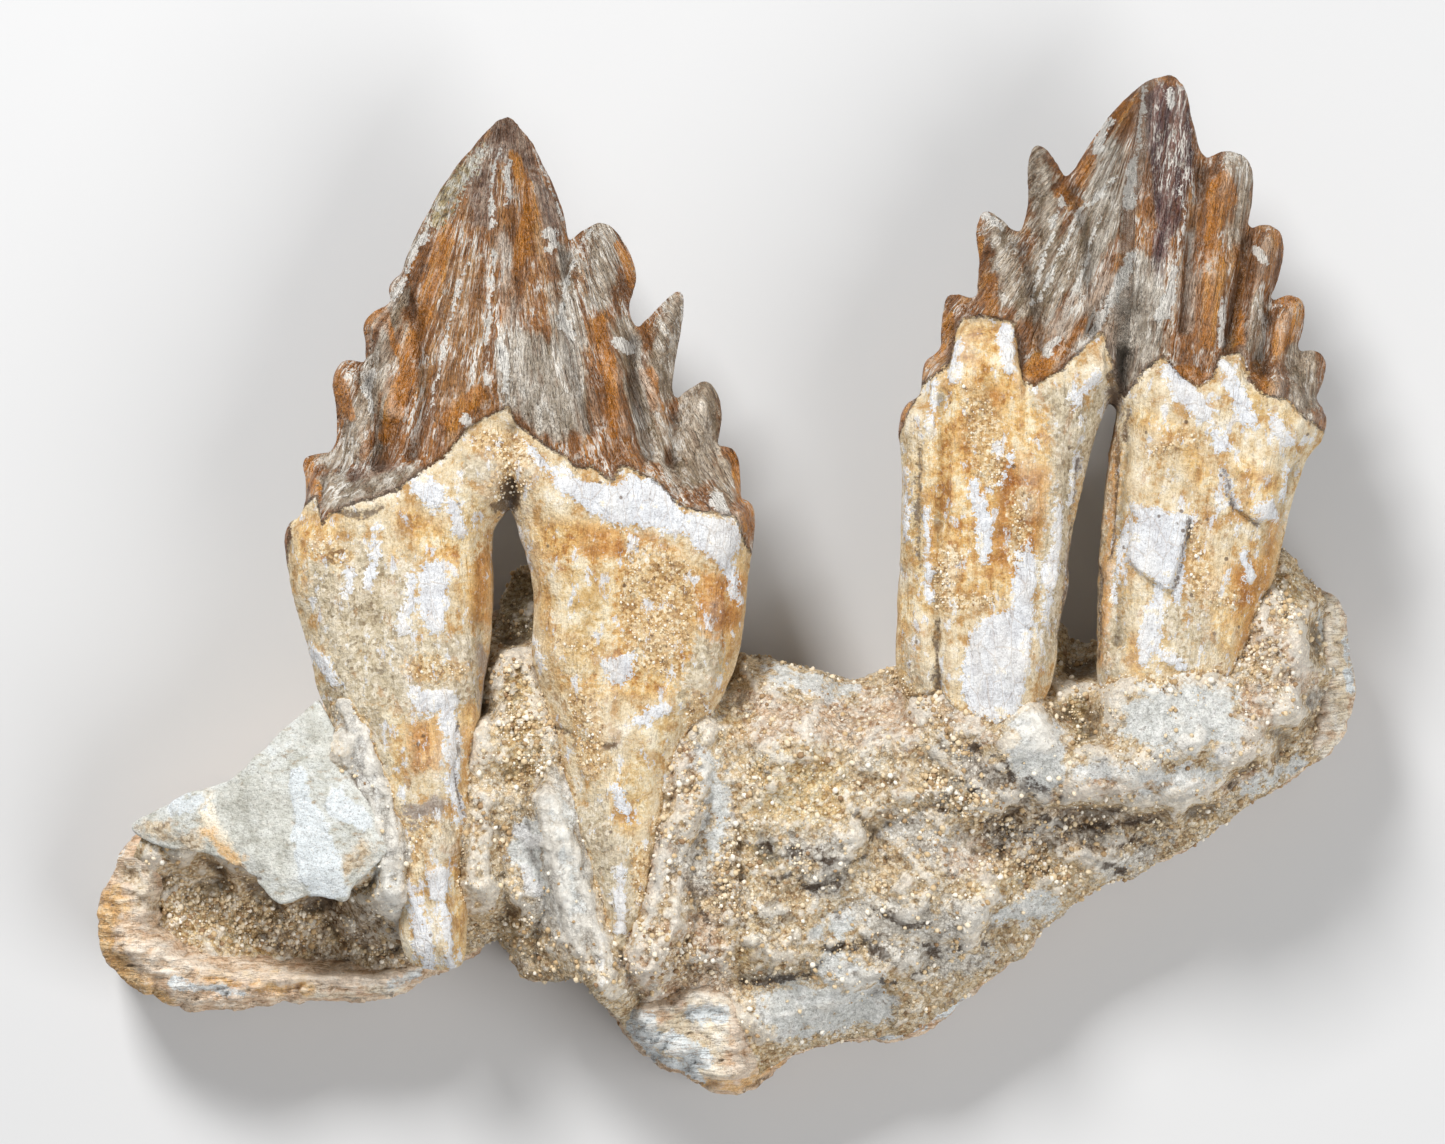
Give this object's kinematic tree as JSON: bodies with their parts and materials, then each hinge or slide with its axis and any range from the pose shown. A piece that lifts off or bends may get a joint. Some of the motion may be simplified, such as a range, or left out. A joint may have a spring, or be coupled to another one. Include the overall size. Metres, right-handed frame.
{
  "type": "fossil whale jaw fragment with cheek teeth",
  "caption": "Fossil whale jaw fragment lying on its back: serrated cheek teeth with split roots held in sandy matrix on broken jaw bone.",
  "frame": {"origin": "middle of the footprint box at the level of the flat back, on which the fossil lies", "axes": "+X along the jaw to the right as seen from the face, +Y from the broken lower edge to the tooth tips, +Z from the back to the face"},
  "size_m": [0.2539, 0.2048, 0.0514],
  "materials": {
    "tooth": "glossy brown fluted enamel over ochre-stained cream roots",
    "smooth_bone": "smooth pale grey bone with cream stains",
    "fibrous_bone": "rough fibrous pink-cream bone",
    "sandy_matrix": "coarse cemented sand with grains, pits and grey cement"
  },
  "bodies": {
    "root": {"tooth_left": "tooth", "tooth_right": "tooth", "bone_plate": "smooth_bone", "jaw_bone": "fibrous_bone", "matrix": "sandy_matrix"}
  },
  "joints": []
}
